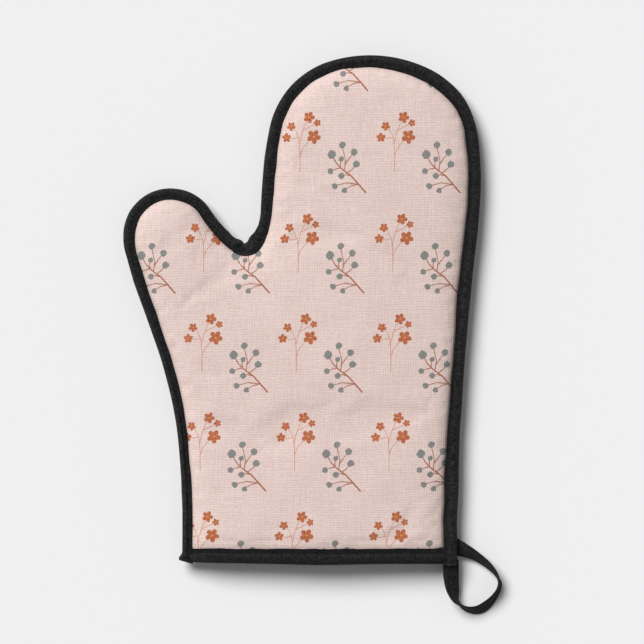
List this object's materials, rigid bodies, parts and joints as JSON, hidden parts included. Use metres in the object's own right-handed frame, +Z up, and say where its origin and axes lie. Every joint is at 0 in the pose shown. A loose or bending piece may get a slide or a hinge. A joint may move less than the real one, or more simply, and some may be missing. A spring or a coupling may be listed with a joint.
{
  "type": "oven mitt",
  "caption": "Padded left-thumb oven mitt in printed cotton with batting and lining, black bias binding, black cuff binding and a tape hanging loop.",
  "frame": {"origin": "middle of the mitt's outline, on the surface that its back lies on", "axes": "+X to the mitt's right across the cuff, with the thumb on -X; +Y from the cuff to the fingertips; +Z up, out of the printed front"},
  "size_m": [0.2441, 0.3582, 0.026],
  "materials": {
    "printed_cotton": "matte plain-weave cotton canvas, pale pink with small printed sprigs",
    "batting": "soft white needled padding",
    "lining_cotton": "matte natural cotton",
    "black_binding": "matte black cotton bias tape, fine weave",
    "black_thread": "spun thread, slight sheen"
  },
  "bodies": {
    "mitt": {"side_binding": "black_binding", "loop_bar_tacks": "black_thread", "front_outer_panel": "printed_cotton", "front_batting": "batting", "front_lining": "lining_cotton", "front_cuff_binding": "black_binding", "front_side_stitches": "black_thread", "front_cuff_stitches": "black_thread", "back_outer_panel": "printed_cotton", "back_batting": "batting", "back_lining": "lining_cotton", "back_cuff_binding": "black_binding", "back_side_stitches": "black_thread", "back_cuff_stitches": "black_thread"},
    "loop": {"hanging_loop": "black_binding"}
  },
  "joints": [
    {"name": "loop_hinge", "type": "hinge", "parent": "mitt", "child": "loop", "pos_m": [0.09855, -0.1589, 0.01176], "axis": [-0.4001, -0.9165, 0], "range_deg": [0, 130]}
  ]
}
